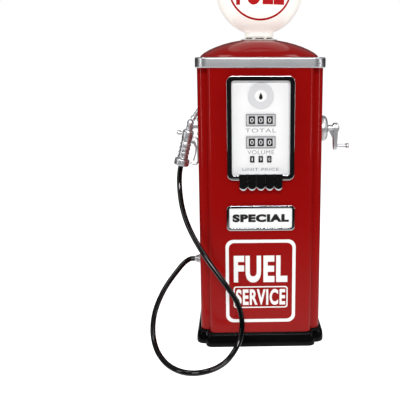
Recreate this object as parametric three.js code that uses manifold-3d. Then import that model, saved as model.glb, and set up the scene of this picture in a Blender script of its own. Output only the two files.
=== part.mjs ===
// A one metre replica of a filling-station fuel pump: a steel cabinet with a proud front panel on a
// black plinth, a bright band, a dome and a lamp globe on top, a reset crank on the right side, and a
// hose nozzle clipped to the left side. Millimetres, +Z up. The origin is on the floor, under the
// middle of the cabinet, and the front faces -Y.
import * as THREE from 'three';
import { mergeVertices } from 'three/addons/utils/BufferGeometryUtils.js';
import Module from 'manifold-3d';

const GAP = 0.3; // between pieces that touch

// Cabinet
const SHEET = 2;
const HALF_WIDTH = 152.5;
const HALF_DEPTH = 125;
const PANEL_HALF = 128; // half width of the proud front panel
const PANEL_EDGE = 14; // its round edge
const STEP_Y = -103; // front of the side panels, behind the proud panel
const FRONT_CORNER = 20;
const REAR_CORNER = 8;
const PLINTH_TOP = 34;
const BODY_TOP = 695.7;
const PLINTH_FLARE = 11;

// Top works
const BAND_TOP = 721;
const DOME_TOP = 763;
const COLLAR_HEIGHT = 5.4;
const GLOBE_RADIUS = 107;
const GLOBE_CENTRE_Z = 883;
const NECK_RADIUS = 36;

// Dial and badge, on the front panel
const FACE_Y = -HALF_DEPTH - GAP;
const DIAL = { half: 81, bottom: 429, top: 678, rail: 12, rise: 12 };
const BADGE = { half: 83.5, bottom: 302, top: 365, rail: 5.6, rise: 5 };

// Side works
const SIDE_Y = -25; // crank, nozzle and hose connector lie in this plane
const CRANK_Z = 543;
const CRANK_THROW = 45;
const CONNECTOR_Z = 199;
const NOZZLE_FOOT = { x: -200.9, z: 448.8 };
const NOZZLE_TILT = THREE.MathUtils.degToRad(13.5);
const SPOUT_BEND = THREE.MathUtils.degToRad(21);
const SPOUT_FOOT = 113.5; // where it leaves the nozzle's axis
const SPOUT_CLEARANCE = 3.5;
const HOSE_DIAMETER = 13;

const ROUND = 20; // sides of a large turned piece
const SMALL = 12; // sides of a small turned piece

const wasm = await Module();
wasm.setup();

// ---- shared making ------------------------------------------------------------------------------

const FINISH = {
  red: { color: 0xa01412, roughness: 0.22, metalness: 0.0 },
  black: { color: 0x0a0a0b, roughness: 0.15, metalness: 0.0 },
  bright: { color: 0xc9ccd0, roughness: 0.12, metalness: 1.0 },
  steel: { color: 0x9a9da0, roughness: 0.4, metalness: 1.0 },
  white: { color: 0xf4f3ee, roughness: 0.35, metalness: 0.0 },
  milk: { color: 0xfbf6ea, roughness: 0.2, metalness: 0.0 },
  grey: { color: 0xb9bbc0, roughness: 0.4, metalness: 0.0 },
  rubber: { color: 0x0c0c0c, roughness: 0.3, metalness: 0.0 },
  brass: { color: 0xb08d4a, roughness: 0.35, metalness: 1.0 },
};

function signedVolume(geometry) {
  const at = geometry.attributes.position;
  const [a, b, c] = [new THREE.Vector3(), new THREE.Vector3(), new THREE.Vector3()];
  let sum = 0;
  for (let i = 0; i < geometry.index.count; i += 3) {
    a.fromBufferAttribute(at, geometry.index.getX(i));
    b.fromBufferAttribute(at, geometry.index.getX(i + 1));
    c.fromBufferAttribute(at, geometry.index.getX(i + 2));
    sum += a.dot(b.cross(c));
  }
  return sum / 6;
}

// One closed mesh of shared vertices, with its faces pointing out.
function closed(geometry) {
  geometry.deleteAttribute('normal');
  geometry.deleteAttribute('uv');
  const merged = mergeVertices(geometry, 1e-4);
  const corners = merged.index.array;
  const kept = [];
  for (let i = 0; i < corners.length; i += 3) {
    const [a, b, c] = corners.slice(i, i + 3);
    if (a !== b && b !== c && c !== a) kept.push(a, b, c);
  }
  merged.setIndex(kept);
  if (signedVolume(merged) < 0) merged.setIndex(kept.reverse());
  return merged;
}

function solid(geometry) {
  const merged = closed(geometry);
  return new wasm.Manifold(new wasm.Mesh({
    numProp: 3,
    vertProperties: new Float32Array(merged.attributes.position.array),
    triVerts: new Uint32Array(merged.index.array),
  }));
}

function fromSolid(manifold) {
  const { vertProperties, triVerts } = manifold.getMesh();
  const geometry = new THREE.BufferGeometry();
  geometry.setAttribute('position', new THREE.BufferAttribute(vertProperties, 3));
  geometry.setIndex(new THREE.BufferAttribute(triVerts, 1));
  return geometry;
}

const cut = (body, ...tools) => fromSolid(
  tools.reduce((left, tool) => left.subtract(solid(tool)), solid(body)));
const join = (body, ...others) => fromSolid(
  others.reduce((sum, other) => sum.add(solid(other)), solid(body)));

function node(name, finish, geometry) {
  const mesh = new THREE.Mesh(closed(geometry), new THREE.MeshStandardMaterial(FINISH[finish]));
  mesh.name = name;
  return mesh;
}

// A box between two corners.
function block(low, high) {
  const size = high.map((value, i) => value - low[i]);
  const middle = high.map((value, i) => (value + low[i]) / 2);
  return new THREE.BoxGeometry(...size).translate(...middle);
}

// A profile of [radius, height] points turned about Z.
function turned(profile, sides = ROUND) {
  const points = profile.map(([radius, height]) => new THREE.Vector2(radius, height));
  return new THREE.LatheGeometry(points, sides).rotateX(Math.PI / 2);
}

// The same about X, with heights measured along +X, or along -X when side is -1.
const turnedX = (profile, sides = SMALL, side = 1) => turned(profile, sides).rotateY(side * Math.PI / 2);

// The same about Y, with heights measured towards the rear.
const turnedY = (profile, sides = SMALL) => turned(profile, sides).rotateX(-Math.PI / 2);

const rod = (radius, from, to) => [[0, from], [radius, from], [radius, to], [0, to]];
const ring = (inner, outer, from, to) => [
  [inner, from], [outer, from], [outer, to], [inner, to], [inner, from],
];

// Points [radius, height] on an arc, for a turned profile.
function arcPoints(centre, radii, fromDegrees, toDegrees, steps) {
  return Array.from({ length: steps + 1 }, (_, i) => {
    const angle = THREE.MathUtils.degToRad(fromDegrees + (toDegrees - fromDegrees) * i / steps);
    return [centre[0] + radii[0] * Math.cos(angle), centre[1] + radii[1] * Math.sin(angle)];
  });
}

function roundedRectangle(halfWidth, low, high, radius, path = new THREE.Shape()) {
  const quarter = Math.PI / 2;
  path.moveTo(halfWidth - radius, low);
  path.absarc(halfWidth - radius, low + radius, radius, -quarter, 0, false);
  path.absarc(halfWidth - radius, high - radius, radius, 0, quarter, false);
  path.absarc(radius - halfWidth, high - radius, radius, quarter, 2 * quarter, false);
  path.absarc(radius - halfWidth, low + radius, radius, 2 * quarter, 3 * quarter, false);
  return path;
}

// A shape's outline and holes as corner points, with no two neighbours at one place.
function cornered(shape) {
  const distinct = (points) => points.filter((point, i) => (
    point.distanceTo(points[(i + 1) % points.length]) > 1e-3));
  const result = new THREE.Shape(distinct(shape.getPoints(2)));
  result.holes = (shape.holes ?? []).map((hole) => new THREE.Path(distinct(hole.getPoints(2))));
  return result;
}

// The section of a round bar or hose, with eight sides.
function roundSection(radius) {
  return new THREE.Shape(new THREE.EllipseCurve(0, 0, radius, radius).getPoints(8).slice(1));
}

// A level slab with bevelled rims, between two heights.
function slab(shape, bottom, top, rim = 0, rimHeight = rim) {
  return new THREE.ExtrudeGeometry(cornered(shape), {
    depth: top - bottom - 2 * rimHeight,
    bevelEnabled: rim > 0,
    bevelSize: rim,
    bevelOffset: -rim,
    bevelThickness: rimHeight,
    bevelSegments: rim > 3 ? 3 : 1,
  }).translate(0, 0, bottom + rimHeight);
}

// The same slab stood up, drawn in X and Z, with its back at one Y and rising towards the front.
function plate(shape, back, rise, rim = 0) {
  return slab(shape, 0, rise, rim).rotateX(Math.PI / 2).translate(0, back, 0);
}

// A folded sheet: the outer line, made thicker to the left of the way it runs.
function foldedSheet(line, thickness, bottom, top) {
  const outer = line.getPoints(4);
  const inner = outer.map((point, i) => {
    const before = point.clone().sub(outer[Math.max(i - 1, 0)]).normalize();
    const after = outer[Math.min(i + 1, outer.length - 1)].clone().sub(point).normalize();
    const along = before.clone().add(after).normalize();
    const stretch = thickness / Math.max(along.dot(before.lengthSq() ? before : after), 0.5);
    return new THREE.Vector2(point.x - along.y * stretch, point.y + along.x * stretch);
  });
  return slab(new THREE.Shape([...outer, ...inner.reverse()]), bottom, top);
}

const mirrored = (geometry) => geometry.clone().scale(-1, 1, 1);

// ---- plinth and cabinet -------------------------------------------------------------------------

// The stepped plan of the cabinet, grown outwards on every side.
function steppedPlan(grow) {
  const side = HALF_WIDTH + grow;
  const panel = PANEL_HALF + grow;
  const front = -HALF_DEPTH - grow;
  const rear = HALF_DEPTH + grow;
  const step = STEP_Y - grow;
  const edge = PANEL_EDGE + grow / 4;
  const corner = FRONT_CORNER + grow / 4;
  const heel = REAR_CORNER + grow;
  const plan = new THREE.Shape();
  plan.moveTo(panel - edge, front);
  plan.absarc(panel - edge, front + edge, edge, -Math.PI / 2, 0, false);
  plan.lineTo(panel, step);
  plan.absarc(side - corner, step + corner, corner, -Math.PI / 2, 0, false);
  plan.absarc(side - heel, rear - heel, heel, 0, Math.PI / 2, false);
  plan.absarc(heel - side, rear - heel, heel, Math.PI / 2, Math.PI, false);
  plan.absarc(corner - side, step + corner, corner, Math.PI, 1.5 * Math.PI, false);
  plan.lineTo(-panel, step);
  plan.absarc(edge - panel, front + edge, edge, Math.PI, 1.5 * Math.PI, false);
  return plan;
}

function plinth() {
  const flareHeight = 24;
  const skirt = slab(steppedPlan(PLINTH_FLARE), -PLINTH_TOP, PLINTH_TOP, PLINTH_FLARE - 1, flareHeight);
  return node('plinth', 'black', cut(
    skirt,
    block([-200, -200, -100], [200, 200, 0]),
    block([-140, -112, -1], [140, 114, 28]),
    block([-118, -92, 20], [118, 106, 50]),
  ));
}

const bottomPlate = () => node('bottom_plate', 'steel', block([-139.6, -111.6, 0], [139.6, 113.6, 3]));

// Screw places on the rear cover, three to a side.
const COVER_SCREWS = [-1, 1].flatMap((side) => [70, 365, 660].map((z) => [side * 136, z]));

function holeX(radius, x0, x1, z) {
  return turnedX(rod(radius, x0, x1)).translate(0, SIDE_Y, z);
}

function sidePanel(side) {
  const line = new THREE.Path();
  line.moveTo(116, STEP_Y);
  line.lineTo(HALF_WIDTH - FRONT_CORNER, STEP_Y);
  line.absarc(HALF_WIDTH - FRONT_CORNER, STEP_Y + FRONT_CORNER, FRONT_CORNER, -Math.PI / 2, 0, false);
  line.absarc(HALF_WIDTH - REAR_CORNER, HALF_DEPTH - REAR_CORNER, REAR_CORNER, 0, Math.PI / 2, false);
  line.lineTo(127, HALF_DEPTH);
  const sheet = foldedSheet(line, SHEET, PLINTH_TOP + GAP, BODY_TOP);
  const screwHoles = COVER_SCREWS.filter(([x]) => x > 0).map(([x, z]) => (
    turnedY(rod(2.4, 115, 135), 10).translate(x, 0, z)));
  if (side > 0) return cut(sheet, holeX(9.4, 140, 160, CRANK_Z), ...screwHoles);
  const leftHoles = [CONNECTOR_Z, ...CLIP_SCREWS].map((z) => (
    holeX(z === CONNECTOR_Z ? 8.4 : 2.4, 140, 160, z)));
  return mirrored(cut(sheet, ...leftHoles, ...screwHoles));
}

function frontPanel() {
  const rear = STEP_Y - GAP;
  const centreY = PANEL_EDGE - HALF_DEPTH;
  const line = new THREE.Path();
  line.moveTo(-112, rear);
  line.lineTo(-PANEL_HALF, rear);
  line.absarc(PANEL_EDGE - PANEL_HALF, centreY, PANEL_EDGE, Math.PI, 1.5 * Math.PI, false);
  line.absarc(PANEL_HALF - PANEL_EDGE, centreY, PANEL_EDGE, -Math.PI / 2, 0, false);
  line.lineTo(PANEL_HALF, rear);
  line.lineTo(112, rear);
  return node('front_panel', 'red', foldedSheet(line, SHEET, PLINTH_TOP + GAP, BODY_TOP));
}

const GLAND = { x: 100, z: 80 };

function rearCover() {
  const back = HALF_DEPTH + GAP + SHEET;
  const sheet = plate(roundedRectangle(146, 42, 688, 5), back, SHEET);
  const vents = [0, 1, 2, 3, 4].map((row) => block([-35, 115, 600 + 11 * row], [35, 135, 605 + 11 * row]));
  const holes = COVER_SCREWS.map(([x, z]) => turnedY(rod(2.4, 115, 135), 10).translate(x, 0, z));
  const glandHole = turnedY(rod(6.4, 115, 135)).translate(GLAND.x, 0, GLAND.z);
  return node('rear_cover', 'red', cut(sheet, glandHole, ...vents, ...holes));
}

function coverScrews() {
  const seat = HALF_DEPTH + SHEET + 2 * GAP;
  const profile = [
    [0, 118], [2, 118], [2, seat], [4.2, seat], [3.8, seat + 1.6], [2.2, seat + 2.4], [0, seat + 2.4],
  ];
  return COVER_SCREWS.map(([x, z], i) => (
    node(`cover_screw_${i + 1}`, 'steel', turnedY(profile, 12).translate(x, 0, z))));
}

function mainsGland() {
  const profile = [
    [0, 116], [6, 116], [6, 127.6], [10, 127.6], [10, 130], [7, 136], [4.5, 136], [4.5, 133], [0, 133],
  ];
  return node('mains_gland', 'rubber', turnedY(profile).translate(GLAND.x, 0, GLAND.z));
}

function lampLead() {
  const route = new THREE.CatmullRomCurve3([
    [GLAND.x, 115.5, GLAND.z], [GLAND.x, 111, GLAND.z], [GLAND.x, 102, 84], [GLAND.x, 97, 100],
    [GLAND.x, 96, 400], [96, 92, 600], [70, 66, 655], [30, 28, 668], [6, 6, 673], [0, 0, 683], [0, 0, 693.9],
  ].map((point) => new THREE.Vector3(...point)));
  const section = roundSection(2.5);
  return node('lamp_lead', 'rubber', new THREE.ExtrudeGeometry(section, {
    steps: 24, extrudePath: route, bevelEnabled: false,
  }));
}

function topDeck() {
  const deck = slab(roundedRectangle(150.2, -100.7, 122.7, 19), 692, 694);
  return node('top_deck', 'steel', cut(deck, turned(rod(5, 680, 700), 16)));
}

// ---- band, dome and globe -----------------------------------------------------------------------

function topBand() {
  const bottom = BODY_TOP + GAP;
  const hole = slab(roundedRectangle(118, -92, 92, 20), bottom - 5, BAND_TOP + 5);
  const channel = slab(roundedRectangle(150, -123, 123, 24), bottom + 3.5, BAND_TOP - 3.5);
  const band = slab(roundedRectangle(156, -129, 129, 30), bottom, BAND_TOP, 4);
  return node('top_band', 'bright', cut(band, channel, hole));
}

// A turned dome whose foot is drawn out to a rounded rectangle, while its crown stays round. Its side
// is flatter than an ellipse: a flatness of 1 would be one.
function dome() {
  const foot = { x: 148, y: 121, power: 3.2 };
  const base = BAND_TOP + GAP;
  const rise = DOME_TOP - base;
  const crown = 40;
  const wall = 3;
  const flatness = 1.38;
  const shell = (radius, height) => arcPoints([0, 0], [1, 1], 0, 90, 8).map(([out, up]) => [
    crown + (radius - crown) * Math.max(out, 0) ** flatness,
    base + height * up ** flatness,
  ]);
  const inner = shell(foot.x - wall, rise - wall).reverse();
  const profile = [...shell(foot.x, rise), [30, DOME_TOP], [30, DOME_TOP - wall], ...inner];
  const geometry = turned([...profile, profile[0]], 32);
  const at = geometry.attributes.position;
  for (let i = 0; i < at.count; i += 1) {
    const radius = Math.hypot(at.getX(i), at.getY(i));
    const [cos, sin] = [Math.abs(at.getX(i) / radius), Math.abs(at.getY(i) / radius)];
    const reach = ((cos / foot.x) ** foot.power + (sin / foot.y) ** foot.power) ** (-1 / foot.power);
    const draw = 1 + (reach / foot.x - 1) * THREE.MathUtils.smoothstep(radius, crown, foot.x);
    at.setXY(i, at.getX(i) * draw, at.getY(i) * draw);
  }
  return node('dome', 'red', geometry);
}

function globeCollar() {
  const seat = DOME_TOP + GAP;
  const brim = seat + 2.2;
  const top = seat + COLLAR_HEIGHT;
  const outside = [[46, seat], [46, seat + 1.2], [44, brim], [37.5, brim], [37.5, top], [32.4, top]];
  const profile = [[29.5, seat], ...outside, [32.4, 780], [29.5, 780], [29.5, seat]];
  const slots = Array.from({ length: 8 }, (_, i) => (
    block([-11, -45, brim + 0.2], [11, -28, top - 0.4]).rotateZ(i * Math.PI / 4)));
  return node('globe_collar', 'white', cut(turned(profile, 24), ...slots));
}

function globe() {
  const wall = 3;
  const rim = DOME_TOP + 2 * GAP + COLLAR_HEIGHT;
  const neckAngle = (radius, neck) => -THREE.MathUtils.radToDeg(Math.acos(neck / radius));
  const centre = [0, GLOBE_CENTRE_Z];
  const inner = GLOBE_RADIUS - wall;
  const innerNeck = NECK_RADIUS - wall;
  const neck = neckAngle(GLOBE_RADIUS, NECK_RADIUS);
  const outside = arcPoints(centre, [GLOBE_RADIUS, GLOBE_RADIUS], 90, neck, 12);
  const inside = arcPoints(centre, [inner, inner], neckAngle(inner, innerNeck), 90, 8);
  outside[0][0] = 0;
  inside[inside.length - 1][0] = 0;
  return node('globe', 'milk', turned([...outside, [NECK_RADIUS, rim], [innerNeck, rim], ...inside], 24));
}

const lampStem = () => node('lamp_stem', 'steel', turned(
  [[0, 694.3], [26, 694.3], [26, 697], [8, 699], [7, 702], [7, 806], [0, 806]], SMALL));
const lampSocket = () => node('lamp_socket', 'white', turned(
  [[0, 806.3], [13, 806.3], [17, 812], [17, 842], [0, 842]], SMALL));
const bulb = () => node('bulb', 'milk', turned(
  [[0, 842.3], [12.5, 842.3], [12.5, 852], ...arcPoints([0, 882], [28, 28], -62, 84, 7), [0, 910]], SMALL));

// ---- dial and badge -----------------------------------------------------------------------------

// A framed panel: a bevelled frame on the front panel, and what fills it.
function frame(name, { half, bottom, top, rail, rise }, corner, rim) {
  const shape = roundedRectangle(half, bottom, top, corner);
  shape.holes.push(roundedRectangle(half - rail, bottom + rail, top - rail, 6, new THREE.Path()));
  return node(name, 'bright', plate(shape, FACE_Y, rise, rim));
}

function filling(name, { half, bottom, top, rail }, rise) {
  const inset = rail + GAP;
  const outline = roundedRectangle(half - inset, bottom + inset, top - inset, 5.7);
  return node(name, 'white', plate(outline, FACE_Y, rise));
}

const DIAL_FACE_Y = FACE_Y - 3 - GAP;

function dialTrim() {
  const medallion = turnedY([...rod(30.6, 0, -2)], ROUND).translate(0, DIAL_FACE_Y, 631);
  const window = (name, z) => (
    node(name, 'grey', plate(roundedRectangle(35.5, z - 14.5, z + 14.5, 1.5), DIAL_FACE_Y, 2.2, 0.6)));
  const tiles = [-20.5, 0, 20.5].map((x, i) => {
    const tile = plate(roundedRectangle(5.3, 472, 487.5, 1), DIAL_FACE_Y, 1.5);
    return node(`price_tile_${i + 1}`, 'black', tile.translate(x, 0, 0));
  });
  return [
    node('medallion', 'grey', medallion), window('sale_window', 574),
    window('gallons_window', 520.8), ...tiles,
  ];
}

// Five rounded flutes that cover the middle of the bezel's bottom rail and hang below it.
function flutedSkirt() {
  const flutes = 5;
  const pitch = 21.2;
  const crest = 7;
  const base = FACE_Y - DIAL.rise - 1.5;
  const plan = new THREE.Shape();
  const left = -pitch * flutes / 2;
  plan.moveTo(left, FACE_Y);
  plan.lineTo(left, base);
  for (let i = 0; i < flutes; i += 1) {
    const centre = left + pitch * (i + 0.5);
    for (let step = 0; step <= 6; step += 1) {
      const angle = Math.PI * step / 6;
      plan.lineTo(centre - (pitch / 2 - 0.4) * Math.cos(angle), base - crest * Math.sin(angle));
    }
  }
  plan.lineTo(-left, base);
  plan.lineTo(-left, FACE_Y);
  const behind = block([-90, FACE_Y - DIAL.rise - GAP, DIAL.bottom - GAP], [90, -100, 460]);
  return node('fluted_skirt', 'bright', cut(slab(plan, 404, 443), behind));
}

// ---- crank --------------------------------------------------------------------------------------

// A shape drawn in (Y, Z) and extruded along X.
function sideways(shape, from, to) {
  const geometry = new THREE.ExtrudeGeometry(cornered(shape), { depth: to - from, bevelEnabled: false });
  return geometry.rotateX(Math.PI / 2).rotateZ(Math.PI / 2).translate(from, 0, 0);
}

const ARM_INSIDE = 188.7;
const ARM_OUTSIDE = 200;

function crankArm() {
  const [hub, end] = [14, 11];
  const lean = Math.asin((hub - end) / CRANK_THROW);
  const outline = new THREE.Shape();
  outline.absarc(0, 0, hub, -lean, Math.PI + lean, false);
  outline.absarc(0, -CRANK_THROW, end, Math.PI + lean, 2 * Math.PI - lean, false);
  const web = sideways(outline, ARM_INSIDE, ARM_OUTSIDE);
  const at = web.attributes.position;
  const middle = (ARM_INSIDE + ARM_OUTSIDE) / 2;
  for (let i = 0; i < at.count; i += 1) {
    const slim = 1 - 0.25 * THREE.MathUtils.smoothstep(-at.getZ(i), -hub, CRANK_THROW + end);
    at.setX(i, middle + (at.getX(i) - middle) * slim);
  }
  const boss = turnedX(rod(8.6, 176.2, ARM_INSIDE + 3));
  const gusset = new THREE.ExtrudeGeometry(
    new THREE.Shape([[179, -8], [192, -8], [192, -34]].map(([x, z]) => new THREE.Vector2(x, z))),
    { depth: 6, bevelEnabled: false },
  ).rotateX(Math.PI / 2).translate(0, 3, 0);
  const shaftBore = turnedX(rod(6.3, 170, 195));
  const pinBore = turnedX(rod(2.3, 180, 210), 12).translate(0, 0, -CRANK_THROW);
  return node('crank_arm', 'bright', cut(join(web, boss, gusset), shaftBore, pinBore));
}

function crank() {
  const group = new THREE.Group();
  group.position.set(0, SIDE_Y, CRANK_Z);
  const shell = [
    [32.5, 152.8], [32.5, 162], ...arcPoints([22, 162], [10.5, 11], 0, 80, 4), [11.5, 175.2], [7, 175.2],
    [7, 173], [11.5, 173], ...arcPoints([22, 161], [8.5, 9.5], 80, 0, 3), [30.5, 152.8], [32.5, 152.8],
  ];
  const grip = [
    [0, 226.3], [2.4, 226.3], [2.4, 199.2], [4.4, 199.2], [4.4, 219], [5.6, 223], [6.8, 225],
    [6.8, 229.5], [5.8, 230.5], [0, 230.5],
  ];
  const lift = (geometry) => geometry.translate(0, 0, -CRANK_THROW);
  const bushing = [[6.3, 147], [14, 147], [14, 150.2], [9, 150.2], [9, 158], [6.3, 158], [6.3, 147]];
  const cap = [[0, 200.3], [10.5, 200.3], [10.5, 201.6], [8, 203.4], [4, 204.4], [0, 204.6]];
  group.add(
    node('crank_escutcheon', 'bright', turnedX(shell, ROUND)),
    node('crank_bushing', 'brass', turnedX(bushing)),
    node('crank_shaft', 'steel', turnedX(rod(6, 122, 194.6))),
    node('shaft_collar', 'steel', turnedX(ring(6.3, 11, 134, 146.6))),
    crankArm(),
    node('crank_cap', 'bright', turnedX(cap)),
    node('grip_pin', 'steel', lift(turnedX(rod(2, 191, 226), 12))),
    node('crank_grip', 'bright', lift(turnedX(grip))),
  );
  return group;
}

// ---- nozzle, drawn upright on its own axis and then tilted towards the cabinet --------------------

function bar(points, radius, steps) {
  const along = points.map(([x, z]) => new THREE.Vector3(x, 0, z));
  const route = new THREE.CatmullRomCurve3(along, false, 'centripetal');
  const section = roundSection(radius);
  return new THREE.ExtrudeGeometry(section, { steps, extrudePath: route, bevelEnabled: false });
}

const PIVOT = { x: 17.5, z: 66 };

function nozzleBody() {
  const grip = 12.6;
  const ribs = [21, 32, 43, 54].flatMap((z) => [[grip, z], [14, z + 1.2], [14, z + 3.4], [grip, z + 4.6]]);
  const profile = [
    [0, 18.3], [11.5, 18.3], [grip, 19.5], ...ribs, [grip, 66], [13.4, 70], [14, 74], [14, 88], [12.5, 92],
    [8, 95], [7.5, 97], [7.5, 109], [8.8, 110.5], [8.8, SPOUT_FOOT],
    ...arcPoints([0, SPOUT_FOOT], [8.2, 8.2], 10, 84, 6), [0, SPOUT_FOOT + 8.2],
  ];
  const lug = block([8, -2, PIVOT.z - 4], [PIVOT.x + 4, 2, PIVOT.z + 4]);
  const pinHole = turnedY(rod(1.8, -10, 10), 12).translate(PIVOT.x, 0, PIVOT.z);
  return node('nozzle_body', 'bright', cut(join(turned(profile, 14), lug), pinHole));
}

// The spout's end is cut off parallel to the side panel, which it leaves a few millimetres clear.
function nozzleSpout() {
  const group = new THREE.Group();
  group.position.z = SPOUT_FOOT;
  group.rotation.y = SPOUT_BEND;
  const reach = -HALF_WIDTH - SPOUT_CLEARANCE - NOZZLE_FOOT.x - SPOUT_FOOT * Math.sin(NOZZLE_TILT);
  const offcut = block([reach, -20, -60], [reach + 60, 20, 120]).rotateY(-NOZZLE_TILT - SPOUT_BEND);
  const profile = [[0, 9], [7, 9], [5.5, 13], [5.5, 46], [4.3, 46], [4.3, 17.5], [0, 17.5]];
  const ring = [[5.8, 13.3], [7.3, 13.3], [7.3, 16], [6.8, 16.6], [5.8, 16.6], [5.8, 13.3]];
  const tube = cut(turned(profile, SMALL), offcut);
  group.add(node('nozzle_spout', 'bright', tube), node('spout_ring', 'steel', turned(ring, SMALL)));
  return group;
}

function trigger() {
  const side = new THREE.Shape([
    [13.8, 69.5], [21, 69.5], [29.5, 55], [31.2, 41], [30, 19.5],
    [26.8, 19.5], [28, 41], [26.2, 53], [19, 61.5], [13.8, 62.5],
  ].map(([x, z]) => new THREE.Vector2(x, z)));
  const width = 10;
  const lever = new THREE.ExtrudeGeometry(side, { depth: width, bevelEnabled: false });
  lever.rotateX(Math.PI / 2).translate(0, width / 2, 0);
  const fork = block([5, -2.6, 57], [24, 2.6, 80]);
  const pinHole = turnedY(rod(1.8, -10, 10), 12).translate(PIVOT.x, 0, PIVOT.z);
  return node('trigger', 'bright', cut(lever, fork, pinHole));
}

function nozzle() {
  const group = new THREE.Group();
  group.position.set(NOZZLE_FOOT.x, SIDE_Y, NOZZLE_FOOT.z);
  group.rotation.y = NOZZLE_TILT;
  const guard = [
    [19.6, 11.5], [30, 10.8], [38, 13], [40, 20], [34.8, 45],
    [28.5, 71], [26, 76.5], [21, 78.5], [14.5, 78.5],
  ];
  const collar = [[0, 0], [16, 0], [18.4, 2], [19, 5], [19, 14], [17.5, 18], [0, 18]];
  const cap = turnedX([[0, 14.4], [4, 14.4], [4, 17.5], [6, 18.5], [6, 26.5], [5, 28], [0, 28]], SMALL, -1);
  group.add(
    node('end_collar', 'bright', turned(collar, ROUND)),
    nozzleBody(),
    nozzleSpout(),
    node('side_cap', 'bright', cap.translate(0, 0, 81.4)),
    node('trigger_guard', 'bright', bar(guard, 2.4, 20)),
    trigger(),
    node('trigger_pin', 'steel', turnedY(rod(1.5, -6, 6), 12).translate(PIVOT.x, 0, PIVOT.z)),
  );
  return group;
}

// ---- wall clip that holds the nozzle by its neck --------------------------------------------------

const CLIP = { z: 548, low: 97, high: 107 };
const CLIP_SCREWS = [CLIP.z - 18, CLIP.z + 18];

function nozzleClip() {
  const reach = 93; // half the angle of the jaws in degrees, from the wall side
  const jaw = new THREE.Shape([
    ...arcPoints([0, 0], [10.6, 10.6], -reach, reach, 8),
    ...arcPoints([0, 0], [8.1, 8.1], reach, -reach, 8),
  ].map(([x, y]) => new THREE.Vector2(x, y)));
  const jaws = slab(jaw, CLIP.low, CLIP.high).rotateY(NOZZLE_TILT);
  jaws.translate(NOZZLE_FOOT.x, SIDE_Y, NOZZLE_FOOT.z);
  const arm = block([-168.5, SIDE_Y - 4, CLIP.z - 4], [-154, SIDE_Y + 4, CLIP.z + 3]);
  const base = block([-156, SIDE_Y - 12, CLIP.z - 26], [-HALF_WIDTH - GAP, SIDE_Y + 12, CLIP.z + 26]);
  const holes = CLIP_SCREWS.map((z) => mirrored(holeX(2.4, 140, 170, z)));
  return node('nozzle_clip', 'bright', cut(join(base, arm, jaws), ...holes));
}

function clipScrews() {
  const profile = [[0, 145], [2, 145], [2, 156.3], [4, 156.3], [3.4, 158], [0, 158.6]];
  return CLIP_SCREWS.map((z, i) => (
    node(`clip_screw_${i + 1}`, 'steel', turnedX(profile, 12, -1).translate(0, SIDE_Y, z))));
}

// ---- hose ---------------------------------------------------------------------------------------

function hoseConnector() {
  const profile = [
    [0, 144], [8, 144], [8, 152.8], [13.5, 152.8], [13.5, 156], [10.5, 160], [7.2, 170], [0, 170],
  ];
  const nut = ring(9.6, 15, 145.5, 150.2);
  return [
    node('hose_connector', 'bright', turnedX(profile, 18, -1).translate(0, SIDE_Y, CONNECTOR_Z)),
    node('connector_nut', 'brass', turnedX(nut, 6, -1).translate(0, SIDE_Y, CONNECTOR_Z)),
  ];
}

// From the nozzle's end collar, forwards and across the front, round on the floor, and back up to
// the connector on the left side.
const HOSE_ROUTE = [
  [-201, -25, 448.5], [-203.1, -25, 439.7], [-205, -27, 425], [-205.5, -32, 405], [-203.5, -42, 380],
  [-198, -58, 350], [-187.5, -79, 320], [-172.5, -103, 292], [-151, -127, 260], [-126, -146, 227],
  [-99, -160, 192], [-75, -171, 161], [-58, -180, 135], [-49.5, -187, 107], [-47.5, -193, 80],
  [-52.5, -202, 52], [-66, -217, 29], [-85, -237, 13], [-107, -257, 7], [-130, -274, 6.8],
  [-154, -281.5, 6.8], [-179, -278, 6.8], [-204, -262, 7], [-230, -233, 10], [-252, -200, 22],
  [-265, -168, 41], [-269, -143, 65], [-266, -118, 91], [-255, -94, 119], [-239, -72, 145],
  [-218, -51, 170], [-197, -34, 191], [-181, -25.4, 198.8], [-170.4, -25, 199],
];

function hose() {
  const points = HOSE_ROUTE.map((point) => new THREE.Vector3(...point));
  const route = new THREE.CatmullRomCurve3(points, false, 'centripetal');
  const section = roundSection(HOSE_DIAMETER / 2);
  return node('hose', 'rubber', new THREE.ExtrudeGeometry(section, {
    steps: 60, extrudePath: route, bevelEnabled: false,
  }));
}

// ---- the whole pump -----------------------------------------------------------------------------

const pump = new THREE.Group();
pump.add(
  plinth(), bottomPlate(),
  node('left_side_panel', 'red', sidePanel(-1)), node('right_side_panel', 'red', sidePanel(1)),
  frontPanel(), rearCover(), ...coverScrews(), mainsGland(), lampLead(), topDeck(),
  topBand(), dome(), globeCollar(), globe(), lampStem(), lampSocket(), bulb(),
  frame('dial_bezel', DIAL, 15, 3), filling('dial_face', DIAL, 3), ...dialTrim(), flutedSkirt(),
  frame('badge_bezel', BADGE, 5, 1.4), filling('badge_plate', BADGE, 2.5),
  crank(), nozzle(), nozzleClip(), ...clipScrews(), ...hoseConnector(), hose(),
);
export default pump;
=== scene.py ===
import math

import bpy
from mathutils import Matrix, Vector


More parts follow.
